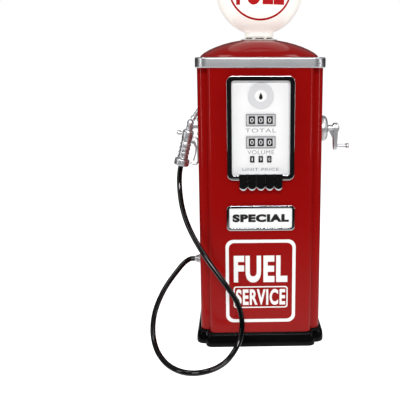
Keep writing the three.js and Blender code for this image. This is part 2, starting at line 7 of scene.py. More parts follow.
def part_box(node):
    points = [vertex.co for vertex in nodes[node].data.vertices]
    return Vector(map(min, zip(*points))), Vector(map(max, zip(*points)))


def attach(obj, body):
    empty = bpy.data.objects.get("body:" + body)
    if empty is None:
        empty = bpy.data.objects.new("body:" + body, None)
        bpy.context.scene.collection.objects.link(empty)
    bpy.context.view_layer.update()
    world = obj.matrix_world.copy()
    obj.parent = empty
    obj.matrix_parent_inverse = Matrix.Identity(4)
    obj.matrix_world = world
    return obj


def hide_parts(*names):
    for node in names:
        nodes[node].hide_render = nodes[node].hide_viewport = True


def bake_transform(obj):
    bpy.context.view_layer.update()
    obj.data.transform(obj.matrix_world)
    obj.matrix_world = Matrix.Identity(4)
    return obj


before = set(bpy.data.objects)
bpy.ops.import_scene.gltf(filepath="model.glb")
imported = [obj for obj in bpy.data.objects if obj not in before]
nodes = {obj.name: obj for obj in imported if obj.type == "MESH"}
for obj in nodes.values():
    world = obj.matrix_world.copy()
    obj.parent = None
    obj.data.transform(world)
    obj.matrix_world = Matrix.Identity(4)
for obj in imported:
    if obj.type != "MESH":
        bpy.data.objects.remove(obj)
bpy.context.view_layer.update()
mm = 0.001

# --- camera ---------------------------------------------------------------------------------------
# It stands a little to the left of the pump and looks slightly down on it. The lens is shifted, so
# that the pump stands right of the middle and the top of its globe is out of the picture.
camera_data = bpy.data.cameras.new("camera")
camera_data.lens = 56.8
camera_data.shift_x = -0.1475
camera_data.shift_y = -0.0525
camera = bpy.data.objects.new("camera", camera_data)
camera.location = (-0.054, -1.629, 0.715)
camera.rotation_euler = (math.radians(90 - 10.7), 0, math.radians(-1.9))
bpy.context.scene.collection.objects.link(camera)
bpy.context.scene.camera = camera


# --- hose -----------------------------------------------------------------------------------------
# A smooth black rubber hose, 13 mm thick and 1.06 m long. It hangs from the nozzle, comes forward
# across the front panel, lies in one loop on the floor and climbs to the connector on the left side.
# Its route is in millimetres.
HOSE_DIAMETER = 13 * mm
HOSE_ROUTE = [
    (-199.1, -25, 456.3), (-201, -25, 448.5), (-203.1, -25, 439.7), (-205, -27, 425), (-205.5, -32, 405),
    (-203.5, -42, 380), (-198, -58, 350), (-187.5, -79, 320), (-172.5, -103, 292), (-151, -127, 260),
    (-126, -146, 227), (-99, -160, 192), (-75, -171, 161), (-58, -180, 135), (-49.5, -187, 107),
    (-47.5, -193, 80), (-52.5, -202, 52), (-66, -217, 29), (-85, -237, 13), (-107, -257, 7),
    (-130, -274, 6.8), (-154, -281.5, 6.8), (-179, -278, 6.8), (-204, -262, 7), (-230, -233, 10),
    (-252, -200, 22), (-265, -168, 41), (-269, -143, 65), (-266, -118, 91), (-255, -94, 119),
    (-239, -72, 145), (-218, -51, 170), (-197, -34, 191), (-181, -25.4, 198.8), (-170.4, -25, 199),
]


def select_only(*pieces):
    """Leaves edit mode and selects these pieces alone. The first of them is then the active one."""
    if bpy.context.mode != "OBJECT":
        bpy.ops.object.mode_set(mode="OBJECT")
    bpy.ops.object.select_all(action="DESELECT")
    for piece in pieces:
        piece.select_set(True)
    if pieces:
        bpy.context.view_layer.objects.active = pieces[0]


def smooth_line(points, steps):
    """Points on a centripetal Catmull-Rom line through the given ones."""
    ends = [2 * points[0] - points[1], *points, 2 * points[-1] - points[-2]]
    line = []
    for a, b, c, d in zip(ends, ends[1:], ends[2:], ends[3:]):
        t1 = (b - a).length ** 0.5
        t2 = t1 + (c - b).length ** 0.5
        t3 = t2 + (d - c).length ** 0.5
        for i in range(steps):
            t = t1 + (t2 - t1) * i / steps
            ab = a.lerp(b, t / t1)
            bc = b.lerp(c, (t - t1) / (t2 - t1))
            cd = c.lerp(d, (t - t2) / (t3 - t2))
            near = ab.lerp(bc, t / t2)
            far = bc.lerp(cd, (t - t1) / (t3 - t1))
            line.append(near.lerp(far, (t - t1) / (t2 - t1)))
    return [*line, points[-1]]


def sealed(piece, gap):
    """Joins the piece's points that lie within the gap, and turns every face outwards."""
    select_only(piece)
    bpy.ops.object.mode_set(mode="EDIT")
    bpy.ops.mesh.select_all(action="SELECT")
    bpy.ops.mesh.remove_doubles(threshold=gap)
    bpy.ops.mesh.normals_make_consistent(inside=False)
    bpy.ops.object.mode_set(mode="OBJECT")
    return piece


ROD_SIDES = 24


def bent_rod(name, line, radius):
    """A round rod along a line of points, closed by flat ends, as a mesh."""
    curve = bpy.data.curves.new(name, "CURVE")
    curve.dimensions = "3D"
    curve.bevel_depth = radius
    curve.bevel_resolution = ROD_SIDES // 2 - 2
    curve.use_fill_caps = True
    spline = curve.splines.new("POLY")
    spline.points.add(len(line) - 1)
    for point, place in zip(spline.points, line):
        point.co = (*place, 1)
    rod = bpy.data.objects.new(name, curve)
    bpy.context.scene.collection.objects.link(rod)
    select_only(rod)
    bpy.ops.object.convert(target="MESH")
    return sealed(bpy.context.object, gap=0.001 * mm)


def add_math(tree, operation, *values, clamp=False):
    """A math node: its inputs are sockets, or plain numbers."""
    node = tree.nodes.new("ShaderNodeMath")
    node.operation = operation
    node.use_clamp = clamp
    for socket, value in zip(node.inputs, values):
        if isinstance(value, (int, float)):
            socket.default_value = value
        else:
            tree.links.new(value, socket)
    return node.outputs[0]


def add_mix(tree, factor, a, b):
    """A colour mix: the factor and the two colours are sockets, or plain values."""
    node = tree.nodes.new("ShaderNodeMix")
    node.data_type = "RGBA"
    color_a, color_b = (socket for socket in node.inputs if socket.type == "RGBA")
    for socket, value in ((node.inputs["Factor"], factor), (color_a, a), (color_b, b)):
        if isinstance(value, tuple):
            socket.default_value = (*value, 1)
        elif isinstance(value, (int, float)):
            socket.default_value = value
        else:
            tree.links.new(value, socket)
    return next(socket for socket in node.outputs if socket.type == "RGBA")


def add_noise(tree, scale, detail):
    """Noise over the object's own coordinates, in metres. Its scale is a socket."""
    place = tree.nodes.new("ShaderNodeTexCoord")
    noise = tree.nodes.new("ShaderNodeTexNoise")
    noise.inputs["Detail"].default_value = detail
    tree.links.new(place.outputs["Object"], noise.inputs["Vector"])
    tree.links.new(scale, noise.inputs["Scale"])
    return noise.outputs["Fac"]


def make_surface_group():
    """Soft stains, a fine grain, and dust that has settled low on the object."""
    noise_mean = 0.5
    stain_edge = 0.35
    stain_contrast = 2.2
    dust_top = 0.22
    dust_color = (0.42, 0.38, 0.33)
    group = bpy.data.node_groups.new("surface", "ShaderNodeTree")
    for name, kind, value in (
        ("Color", "NodeSocketColor", (1, 1, 1, 1)), ("Stain", "NodeSocketColor", (0, 0, 0, 1)),
        ("Stain Amount", "NodeSocketFloat", 0.3), ("Dust Amount", "NodeSocketFloat", 0.1),
        ("Roughness", "NodeSocketFloat", 0.3), ("Roughness Spread", "NodeSocketFloat", 0.1),
        ("Stain Scale", "NodeSocketFloat", 12), ("Grain Scale", "NodeSocketFloat", 600),
    ):
        group.interface.new_socket(name, in_out="INPUT", socket_type=kind).default_value = value
    group.interface.new_socket("Color", in_out="OUTPUT", socket_type="NodeSocketColor")
    group.interface.new_socket("Roughness", in_out="OUTPUT", socket_type="NodeSocketFloat")
    group.interface.new_socket("Height", in_out="OUTPUT", socket_type="NodeSocketFloat")
    given = group.nodes.new("NodeGroupInput").outputs
    result = group.nodes.new("NodeGroupOutput").inputs
    broad = add_noise(group, given["Stain Scale"], detail=4)
    grain = add_noise(group, given["Grain Scale"], detail=2)
    above_edge = add_math(group, "SUBTRACT", broad, stain_edge)
    spots = add_math(group, "MULTIPLY", above_edge, stain_contrast, clamp=True)
    stain = add_math(group, "MULTIPLY", spots, given["Stain Amount"], clamp=True)
    stained = add_mix(group, stain, given["Color"], given["Stain"])
    split = group.nodes.new("ShaderNodeSeparateXYZ")
    group.links.new(group.nodes.new("ShaderNodeTexCoord").outputs["Object"], split.inputs[0])
    lowness = group.nodes.new("ShaderNodeMapRange")
    lowness.inputs["From Min"].default_value = dust_top
    lowness.inputs["From Max"].default_value = 0
    group.links.new(split.outputs["Z"], lowness.inputs["Value"])
    specks = add_math(group, "MULTIPLY", add_math(group, "MULTIPLY", grain, broad), lowness.outputs[0])
    dust = add_math(group, "MULTIPLY", specks, given["Dust Amount"], clamp=True)
    group.links.new(add_mix(group, dust, stained, dust_color), result["Color"])
    around_mean = add_math(group, "SUBTRACT", broad, noise_mean)
    swing = add_math(group, "MULTIPLY", around_mean, given["Roughness Spread"])
    worn = add_math(group, "ADD", given["Roughness"], swing)
    group.links.new(add_math(group, "ADD", worn, dust, clamp=True), result["Roughness"])
    group.links.new(grain, result["Height"])
    return group


surface_group = make_surface_group()
GRAIN_DEPTH = 0.1 * mm


def make_finish(name, color, stain, stain_amount=0.3, dust=0.1, roughness=0.3, spread=0.1, scale=12,
                grain=600, bump=0.02, **constants):
    """A material whose colour, roughness and bump come from the surface group."""
    material = bpy.data.materials.new(name)
    material.use_nodes = True
    tree = material.node_tree
    shader = tree.nodes["Principled BSDF"]
    for socket, value in constants.items():
        shader.inputs[socket.replace("_", " ")].default_value = value
    surface = tree.nodes.new("ShaderNodeGroup")
    surface.name = "surface"
    surface.node_tree = surface_group
    for socket, value in (
        ("Color", (*color, 1)), ("Stain", (*stain, 1)), ("Stain Amount", stain_amount),
        ("Dust Amount", dust), ("Roughness", roughness), ("Roughness Spread", spread),
        ("Stain Scale", scale), ("Grain Scale", grain),
    ):
        surface.inputs[socket].default_value = value
    relief = tree.nodes.new("ShaderNodeBump")
    relief.inputs["Strength"].default_value = bump
    relief.inputs["Distance"].default_value = GRAIN_DEPTH
    tree.links.new(surface.outputs["Color"], shader.inputs["Base Color"])
    tree.links.new(surface.outputs["Roughness"], shader.inputs["Roughness"])
    tree.links.new(surface.outputs["Height"], relief.inputs["Height"])
    tree.links.new(relief.outputs["Normal"], shader.inputs["Normal"])
    return material


def dress(piece, material, body="root", replaced=(), angle=35):
    """Smooths the piece, paints it, and fixes it to its body in place of its CAD nodes."""
    select_only(piece)
    bpy.ops.object.shade_smooth_by_angle(angle=math.radians(angle))
    piece.data.materials.clear()
    piece.data.materials.append(material)
    if body:
        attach(piece, body)
    if replaced:
        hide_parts(*replaced)


hose_rubber = make_finish(
    "hose_rubber", (0.002, 0.002, 0.0022), (0.005, 0.005, 0.0055), dust=0, roughness=0.06, spread=0.04,
    scale=30, grain=900, bump=0.01, Specular_IOR_Level=0.45,
)
hose_line = smooth_line([Vector(point) * mm for point in HOSE_ROUTE], steps=7)
hose = bent_rod("hose_tube", hose_line, HOSE_DIAMETER / 2)
dress(hose, hose_rubber, body=None, replaced=["hose"])
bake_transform(hose)


# --- floor and lights -----------------------------------------------------------------------------
# A plain white studio: a pale floor, and soft lights above, in front and at both sides. The bright
# trim mirrors a room that is white low down, grey high up, and near black in between.
FLOOR_SIZE = (60, 41.1)
FLOOR_MIDDLE_Y = 19.45
FLOOR_GAP = 0.5 * mm
bpy.ops.mesh.primitive_plane_add(size=1, location=(0, FLOOR_MIDDLE_Y, -FLOOR_GAP))
floor = bpy.context.object
floor.name = "studio_floor"
floor.scale = (*FLOOR_SIZE, 1)
floor.visible_glossy = False
floor_paint = bpy.data.materials.new("studio_floor")
floor_paint.use_nodes = True
floor_shader = floor_paint.node_tree.nodes["Principled BSDF"]
floor_shader.inputs["Base Color"].default_value = (0.85, 0.85, 0.85, 1)
floor_shader.inputs["Emission Color"].default_value = (1, 1, 1, 1)
floor_shader.inputs["Emission Strength"].default_value = 0.9
floor_shader.inputs["Roughness"].default_value = 0.8
floor.data.materials.append(floor_paint)


def add_softbox(name, place, aim, size, power):
    """A rectangular soft light that stands at a place and shines towards its aim."""
    light = bpy.data.lights.new(name, "AREA")
    light.shape = "RECTANGLE"
    light.size, light.size_y = size
    light.energy = power
    softbox = bpy.data.objects.new(name, light)
    softbox.location = place
    softbox.rotation_euler = (Vector(aim) - Vector(place)).to_track_quat("-Z", "Y").to_euler()
    bpy.context.scene.collection.objects.link(softbox)


add_softbox("softbox_above_left", (-1, -0.6, 2.5), aim=(0, 0, 0.5), size=(0.6, 0.8), power=8)
add_softbox("softbox_above_right", (1, -0.6, 2.5), aim=(0, 0, 0.5), size=(0.6, 0.8), power=8)
add_softbox("softbox_front", (0, -3.4, 2.4), aim=(0, 0, 0.4), size=(1.8, 0.5), power=80)
add_softbox("softbox_left", (-2.1, -1, 1), aim=(0, 0, 0.45), size=(0.4, 1.8), power=8)
add_softbox("softbox_right", (2.1, -1, 1), aim=(0, 0, 0.45), size=(0.4, 1.8), power=8)

studio = bpy.data.worlds.new("studio")
bpy.context.scene.world = studio
studio.use_nodes = True
room = studio.node_tree
toward = room.nodes.new("ShaderNodeSeparateXYZ")
room.links.new(room.nodes.new("ShaderNodeTexCoord").outputs["Generated"], toward.inputs[0])
steepness = add_math(room, "MULTIPLY_ADD", toward.outputs["Z"], 0.5, 0.5)
brightness = room.nodes.new("ShaderNodeValToRGB")
ramp = brightness.color_ramp.elements
ramp.remove(ramp[-1])
for stop, level in ((0, 0.85), (0.28, 0.85), (0.37, 0.008), (0.575, 0.008), (0.75, 0.22)):
    element = ramp.new(stop) if stop else ramp[0]
    element.color = (level, level, level, 1)
room.links.new(steepness, brightness.inputs["Fac"])
seen = room.nodes.new("ShaderNodeLightPath").outputs["Is Camera Ray"]
backdrop = room.nodes["Background"]
room.links.new(add_mix(room, seen, brightness.outputs[0], (1, 1, 1)), backdrop.inputs["Color"])
bpy.context.scene.view_settings.view_transform = "Standard"


# --- plinth ---------------------------------------------------------------------------------------
# A black gloss enamelled foot, pressed from sheet steel, that follows the cabinet's plan and flares
# out to the floor. Its bottom plate closes it underneath.
def merged_copy(node, name):
    """A new piece from a CAD node's shape, with its triangles joined into whole faces."""
    piece = bpy.data.objects.new(name, nodes[node].data.copy())
    bpy.context.scene.collection.objects.link(piece)
    select_only(piece)
    bpy.ops.object.mode_set(mode="EDIT")
    bpy.ops.mesh.select_all(action="SELECT")
    bpy.ops.mesh.remove_doubles(threshold=0.01 * mm)
    bpy.ops.mesh.dissolve_limited(angle_limit=math.radians(1))
    bpy.ops.object.mode_set(mode="OBJECT")
    return piece


def round_edges(piece, width, segments=3, angle=30):
    """Rounds every edge sharper than the angle, and keeps the flat faces looking flat."""
    select_only(piece)
    bevel = piece.modifiers.new("rounded", "BEVEL")
    bevel.width = width
    bevel.segments = segments
    bevel.limit_method = "ANGLE"
    bevel.angle_limit = math.radians(angle)
    bpy.ops.object.modifier_apply(modifier=bevel.name)
    for face in piece.data.polygons:
        face.use_smooth = True
    flat = piece.modifiers.new("flat_faces", "WEIGHTED_NORMAL")
    bpy.ops.object.modifier_apply(modifier=flat.name)
    return piece


black_gloss = make_finish(
    "black_gloss_enamel", (0.002, 0.002, 0.0022), (0.006, 0.006, 0.0065), dust=0, roughness=0.1,
    spread=0.05, scale=18, grain=350, bump=0.02, Specular_IOR_Level=0.2,
)
plinth = round_edges(merged_copy("plinth", "plinth_shell"), width=0.6 * mm)
dress(plinth, black_gloss, replaced=["plinth"])
nodes["bottom_plate"].material_slots[0].material = black_gloss


# --- cabinet --------------------------------------------------------------------------------------
# Two side panels and a front panel that stands proud of them, folded from sheet steel with rounded
# edges, and coated in deep red gloss enamel. A flat deck closes the cabinet under the band.
red_enamel = make_finish(
    "red_enamel", (0.27, 0.0038, 0.0033), (0.205, 0.002, 0.0024), stain_amount=0.35, dust=0.03,
    roughness=0.12, spread=0.06, scale=6, grain=260, bump=0.025, Specular_IOR_Level=0.22,
)
for node in ("left_side_panel", "right_side_panel", "front_panel"):
    panel = round_edges(merged_copy(node, node + "_sheet"), width=0.5 * mm, segments=2)
    dress(panel, red_enamel, replaced=[node])
nodes["top_deck"].material_slots[0].material = red_enamel


# --- rear cover -----------------------------------------------------------------------------------
# A flat red cover with five slots, held by six dome-headed screws. The mains lead's gland is in
# its lower corner, and the lead to the lamp runs inside.
rear_cover = round_edges(merged_copy("rear_cover", "rear_cover_sheet"), width=0.4 * mm, segments=2)
dress(rear_cover, red_enamel, replaced=["rear_cover"])
steel = make_finish(
    "zinc_plated_steel", (0.55, 0.56, 0.57), (0.35, 0.34, 0.32), stain_amount=0.3, roughness=0.3,
    spread=0.2, scale=60, grain=1500, bump=0.03, Metallic=1.0,
)
gland_plastic = make_finish(
    "gland_plastic", (0.02, 0.02, 0.02), (0.05, 0.05, 0.05), roughness=0.45, scale=50, grain=2500, bump=0.1,
)


def turned(name, profile, sides=64):
    """A solid turned about Z: a disc, pushed up and scaled ring by ring through (radius, height)."""
    (radius, height), *rest = profile
    select_only()
    bpy.ops.mesh.primitive_circle_add(
        vertices=sides, radius=radius, fill_type="NGON", location=(0, 0, height)
    )
    piece = bpy.context.object
    piece.name = name
    bpy.ops.object.transform_apply(location=True, rotation=True, scale=True)
    bpy.ops.object.mode_set(mode="EDIT")
    bpy.ops.mesh.select_all(action="SELECT")
    for wider, higher in rest:
        bpy.ops.mesh.extrude_region_move(TRANSFORM_OT_translate={"value": (0, 0, higher - height)})
        grow = wider / radius
        bpy.ops.transform.resize(value=(grow, grow, 1), center_override=(0, 0, higher))
        radius, height = wider, higher
    bpy.ops.mesh.select_all(action="SELECT")
    bpy.ops.mesh.normals_make_consistent(inside=False)
    bpy.ops.object.mode_set(mode="OBJECT")
    return piece


def in_mm(profile):
    """The same profile, from millimetres to metres."""
    return [(radius * mm, height * mm) for radius, height in profile]


def arc(centre, radius, first, last, steps=8):
    """Points of a profile along an arc. An angle of 0 points outwards and 90 points up."""
    angles = [math.radians(first + (last - first) * i / steps) for i in range(steps + 1)]
    return [(centre[0] + radius * math.cos(a), centre[1] + radius * math.sin(a)) for a in angles]


def placed(piece, place, axis=(0, 0, 1)):
    """Stands the piece at a place with its Z along an axis, and leaves its object at the origin."""
    select_only(piece)
    turn = Vector((0, 0, 1)).rotation_difference(Vector(axis)).to_matrix().to_4x4()
    piece.matrix_world = Matrix.Translation(Vector(place)) @ turn
    bpy.ops.object.transform_apply(location=True, rotation=True, scale=True)


def middle(node):
    """The middle of a CAD node's box."""
    low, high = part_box(node)
    return (low + high) / 2


def cut_away(piece, cutter):
    """Cuts the cutter's shape out of the piece, and removes the cutter."""
    select_only(piece)
    cut = piece.modifiers.new("cut", "BOOLEAN")
    cut.operation = "DIFFERENCE"
    cut.object = cutter
    bpy.ops.object.modifier_apply(modifier=cut.name)
    bpy.data.objects.remove(cutter)


def cross_slot(piece, across, deep, wide):
    """Cuts a cross recess into the top of a screw head that stands on Z."""
    top = max(vertex.co.z for vertex in piece.data.vertices)
    for length, breadth in ((across, wide), (wide, across)):
        select_only()
        bpy.ops.mesh.primitive_cube_add(size=1, location=(0, 0, top), scale=(length, breadth, 2 * deep))
        cut_away(piece, bpy.context.object)


SCREW_SHANK_RADIUS = 1.9 * mm
SCREW_SHANK_LENGTH = 9 * mm
SCREW_HEAD_RADIUS = 4.2 * mm
SCREW_RIM_HEIGHT = 0.4 * mm
SCREW_DOME_SHARE = 0.476
screw_profile = [
    (SCREW_SHANK_RADIUS, -SCREW_SHANK_LENGTH), (SCREW_SHANK_RADIUS, 0), (SCREW_HEAD_RADIUS, 0),
    (SCREW_HEAD_RADIUS, SCREW_RIM_HEIGHT),
]
for radius, rise in arc((0, 0), SCREW_HEAD_RADIUS, 8, 86, steps=7):
    screw_profile.append((radius, SCREW_RIM_HEIGHT + rise * SCREW_DOME_SHARE))
for number in range(1, 7):
    node = f"cover_screw_{number}"
    screw = turned(node + "_head", screw_profile, sides=32)
    cross_slot(screw, across=4.6 * mm, deep=1 * mm, wide=1 * mm)
    placed(screw, middle(node), (0, 1, 0))
    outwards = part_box(node)[1].y - max(vertex.co.y for vertex in screw.data.vertices)
    screw.data.transform(Matrix.Translation((0, outwards, 0)))
    dress(screw, steel, replaced=[node])

gland = round_edges(merged_copy("mains_gland", "mains_gland_body"), width=0.4 * mm, segments=2)
dress(gland, gland_plastic, replaced=["mains_gland"])
nodes["lamp_lead"].material_slots[0].material = gland_plastic


# --- top band -------------------------------------------------------------------------------------
# A bright plated plastic moulding with rounded rims. It sits on the cabinet's top edge, and covers
# the joint of the cabinet and the dome.
BAND_CORNER = 30 * mm
BAND_RIM = 4 * mm
band_low, band_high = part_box("top_band")
plated_plastic = make_finish(
    "bright_plating", (0.74, 0.75, 0.77), (0.6, 0.6, 0.6), stain_amount=0.2, dust=0, roughness=0.36,
    spread=0.06, scale=20, grain=500, bump=0.02, Metallic=1.0,
)


def select_edges(piece, test):
    """In edit mode, selects only the edges whose two ends pass the test."""
    bpy.ops.mesh.select_all(action="DESELECT")
    bpy.ops.object.mode_set(mode="OBJECT")
    for edge in piece.data.edges:
        a, b = (piece.data.vertices[i].co for i in edge.vertices)
        edge.select = test(a, b)
    bpy.ops.object.mode_set(mode="EDIT")


def rounded_block(name, low, high, axis, corner, segments=8):
    """A block between two corners. Its four edges along the axis, 0, 1 or 2, are rounded."""
    select_only()
    low, high = Vector(low), Vector(high)
    bpy.ops.mesh.primitive_cube_add(size=1, location=(low + high) / 2, scale=high - low)
    block = bpy.context.object
    block.name = name
    bpy.ops.object.transform_apply(location=True, rotation=True, scale=True)
    bpy.ops.object.mode_set(mode="EDIT")
    bpy.ops.mesh.select_mode(type="EDGE")
    select_edges(block, lambda a, b: (a - b).length - abs(a[axis] - b[axis]) < 0.001 * mm)
    bpy.ops.mesh.bevel(offset=corner, segments=segments, affect="EDGES")
    bpy.ops.object.mode_set(mode="OBJECT")
    return block


band = rounded_block("top_band_moulding", band_low, band_high, axis=2, corner=BAND_CORNER, segments=12)
round_edges(band, width=BAND_RIM, segments=6, angle=60)
dress(band, plated_plastic, replaced=["top_band"], angle=60)


# --- dome -----------------------------------------------------------------------------------------
# A red enamelled pressing on top of the band. It blends from the cabinet's rectangle into the round
# foot of the globe.
dome = merged_copy("dome", "dome_pressing")
dress(dome, red_enamel, replaced=["dome"], angle=40)


# --- globe ----------------------------------------------------------------------------------------
# A milk-white plastic sphere on a short neck, with a printed red ring and word on its front. A soft
# glow in its plastic is painted light that brightens it evenly. It stands in a pale collar whose
# slots let the lamp's heat out.
GLOBE_RADIUS = 107 * mm
GLOBE_CENTRE = Vector((0, 0, 883 * mm))
GLOBE_NECK = 36 * mm
GLOBE_FOOT = 771.6 * mm
RING_OUTER = 75.7 * mm
RING_WIDTH = 6 * mm
RING_PROUD = 0.3 * mm
RING_SUNK = 1 * mm
# The emission is painted light: a glow that brightens the globe evenly. The bulb inside shares this finish.
milk_plastic = make_finish(
    "milk_plastic", (0.6, 0.585, 0.56), (0.52, 0.48, 0.42), stain_amount=0.25, dust=0, roughness=0.2,
    spread=0.06, scale=9, grain=300, bump=0.02, Subsurface_Weight=0.15, Subsurface_Scale=0.02,
    Emission_Color=(1, 0.94, 0.88, 1), Emission_Strength=0.54,
)
red_ink = make_finish(
    "red_ink", (0.46, 0.007, 0.01), (0.38, 0.005, 0.008), dust=0, roughness=0.3, scale=30, grain=900,
    bump=0.02, Specular_IOR_Level=0.1,
)
neck_angle = math.degrees(math.acos(GLOBE_NECK / GLOBE_RADIUS))
globe = turned("milk_globe", [
    (GLOBE_NECK, GLOBE_FOOT - GLOBE_CENTRE.z), *arc((0, 0), GLOBE_RADIUS, -neck_angle, 89.5, steps=48),
], sides=96)
placed(globe, GLOBE_CENTRE)
dress(globe, milk_plastic, replaced=["globe"])


def lettering(name, words, width, height, centre, thickness, weight=0.0, gap=1.0):
    """Words as thin solid letters that face the front, drawn to a width and height."""
    select_only()
    bpy.ops.object.text_add()
    letters = bpy.context.object
    letters.name = name
    letters.data.body = words
    letters.data.offset = weight
    letters.data.extrude = 0.5
    letters.data.space_character = gap
    letters.data.resolution_u = 6
    bpy.ops.object.convert(target="MESH")
    letters = bpy.context.object
    low = Vector(min(v.co[i] for v in letters.data.vertices) for i in range(3))
    high = Vector(max(v.co[i] for v in letters.data.vertices) for i in range(3))
    size = high - low
    grow = Matrix.Diagonal((width / size.x, height / size.y, thickness / size.z, 1))
    stand = Matrix.Translation(centre) @ Matrix.Rotation(math.radians(90), 4, "X")
    letters.matrix_world = stand @ grow @ Matrix.Translation(-(low + high) / 2)
    bpy.ops.object.transform_apply(location=True, rotation=True, scale=True)
    return sealed(letters, gap=0.005 * mm)


def wrap_on_globe(piece, proud):
    """Pushes a flat print back onto the front of the globe."""
    select_only(piece)
    bpy.ops.object.mode_set(mode="EDIT")
    bpy.ops.mesh.select_all(action="SELECT")
    for _ in range(3):
        bpy.ops.mesh.subdivide(number_cuts=1)
    bpy.ops.object.mode_set(mode="OBJECT")
    for vertex in piece.data.vertices:
        x, y, z = vertex.co - GLOBE_CENTRE
        back = math.sqrt(GLOBE_RADIUS ** 2 - x * x - z * z)
        vertex.co.y = GLOBE_CENTRE.y + y - back - proud


globe_word = lettering(
    "globe_word", "FUEL", width=114 * mm, height=70 * mm, centre=GLOBE_CENTRE - Vector((0, 0, 6 * mm)),
    thickness=0.6 * mm, weight=0.04,
)
wrap_on_globe(globe_word, proud=0.1 * mm)
dress(globe_word, red_ink)
ring_start = 90 - math.degrees(math.asin(RING_OUTER / GLOBE_RADIUS))
ring_end = ring_start + math.degrees(RING_WIDTH / GLOBE_RADIUS)
globe_ring = turned("globe_ring", [
    *arc((0, 0), GLOBE_RADIUS + RING_PROUD, ring_start, ring_end, steps=4),
    *arc((0, 0), GLOBE_RADIUS - RING_SUNK, ring_end, ring_start, steps=4),
], sides=96)
placed(globe_ring, GLOBE_CENTRE, (0, -1, 0))
dress(globe_ring, red_ink)

collar = round_edges(merged_copy("globe_collar", "globe_collar_ring"), width=0.3 * mm, segments=2, angle=40)
collar_plastic = make_finish(
    "collar_plastic", (0.86, 0.85, 0.82), (0.7, 0.66, 0.6), dust=0, roughness=0.25, scale=40, grain=900,
)
dress(collar, collar_plastic, replaced=["globe_collar"])
# Painted shade: a thin black sleeve inside the collar, in the hose's black rubber, that keeps the collar's
# slots dark where shade falls inside it.
SHADE_SLEEVE_RADIUS = 29.2 * mm
SHADE_SLEEVE_WALL = 1.2 * mm
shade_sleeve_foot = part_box("globe_collar")[0].z
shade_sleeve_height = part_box("globe")[0].z - shade_sleeve_foot
select_only()
bpy.ops.mesh.primitive_cylinder_add(
    vertices=64, radius=SHADE_SLEEVE_RADIUS, depth=shade_sleeve_height, end_fill_type="NOTHING",
    location=(0, 0, shade_sleeve_foot + shade_sleeve_height / 2),
)
shade_sleeve = bpy.context.object
shade_sleeve.name = "collar_painted_shade_sleeve"
bpy.ops.object.transform_apply(location=True, rotation=True, scale=True)
wall = shade_sleeve.modifiers.new("wall", "SOLIDIFY")
wall.thickness = SHADE_SLEEVE_WALL
bpy.ops.object.modifier_apply(modifier=wall.name)
dress(shade_sleeve, hose_rubber)
lamp_finishes = {"lamp_stem": steel, "lamp_socket": gland_plastic, "bulb": milk_plastic}
for node, finish in lamp_finishes.items():
    nodes[node].material_slots[0].material = finish


# --- dial bezel -----------------------------------------------------------------------------------
# A chromed frame with a rounded rail, cast in one piece. Screws from behind hold it on the front
# panel.
chrome = make_finish(
    "chrome", (0.8, 0.81, 0.83), (0.66, 0.66, 0.66), stain_amount=0.2, dust=0, roughness=0.07,
    spread=0.05, scale=40, grain=700, bump=0.015, Metallic=1.0,
)


def frame_of(name, low, high, rail, corner, inner_corner, outer_edge, inner_edge):
    """A frame that faces the front: a rounded block, opened through, with both front rims rounded."""
    low, high = Vector(low), Vector(high)
    block = rounded_block(name, low, high, axis=1, corner=corner)
    inwards = Vector((rail, -rail, rail))
    opening = rounded_block(
        name + "_opening", low + inwards, high - inwards, axis=1, corner=inner_corner, segments=6,
    )
    cut_away(block, opening)
    centre = (low + high) / 2
    reach_x = (high.x - low.x - rail) / 2
    reach_z = (high.z - low.z - rail) / 2

    def is_inner(a):
        return abs(a.x - centre.x) < reach_x and abs(a.z - centre.z) < reach_z

    for inner, width in ((False, outer_edge), (True, inner_edge)):
        bpy.ops.object.mode_set(mode="EDIT")
        select_edges(block, lambda a, b: (
            abs(a.y - low.y) + abs(b.y - low.y) < 0.002 * mm and is_inner(a) is is_inner(b) is inner
        ))
        bpy.ops.mesh.bevel(offset=width, segments=6, affect="EDGES")
        bpy.ops.object.mode_set(mode="OBJECT")
    return block


bezel = frame_of(
    "dial_bezel_frame", *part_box("dial_bezel"), rail=12 * mm, corner=15 * mm, inner_corner=6 * mm,
    outer_edge=1.5 * mm, inner_edge=1 * mm,
)
dress(bezel, chrome, replaced=["dial_bezel"], angle=50)


# --- dial face ------------------------------------------------------------------------------------
# A white plastic plate with everything printed or stuck on it: a grey emblem disc, two windows of
# three black cells, three loose black tiles and their pale grey captions.
white_gloss = make_finish(
    "white_gloss_plastic", (0.9, 0.9, 0.9), (0.8, 0.8, 0.79), stain_amount=0.2, dust=0, roughness=0.25,
    spread=0.05, scale=25, grain=700, bump=0.01,
)
caption_ink = make_finish(
    "grey_ink", (0.3, 0.3, 0.31), (0.38, 0.38, 0.38), dust=0, roughness=0.4, scale=90, grain=1500,
)
window_grey = make_finish(
    "window_grey", (0.27, 0.27, 0.28), (0.33, 0.33, 0.33), dust=0, roughness=0.35, scale=60, grain=1200,
)
pale_grey = make_finish(
    "pale_grey_plastic", (0.66, 0.66, 0.68), (0.6, 0.6, 0.6), dust=0, roughness=0.35, scale=60, grain=1200,
)
cell_black = make_finish(
    "cell_black", (0.006, 0.006, 0.006), (0.02, 0.02, 0.02), dust=0, roughness=0.35, scale=60, grain=1200,
)
PRINT = 0.2 * mm
PRINT_EDGE = 0.05 * mm
dial_plate = round_edges(merged_copy("dial_face", "dial_face_plate"), width=0.5 * mm)
dress(dial_plate, white_gloss, replaced=["dial_face"])
face_low, face_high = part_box("dial_face")
face_y = face_low.y

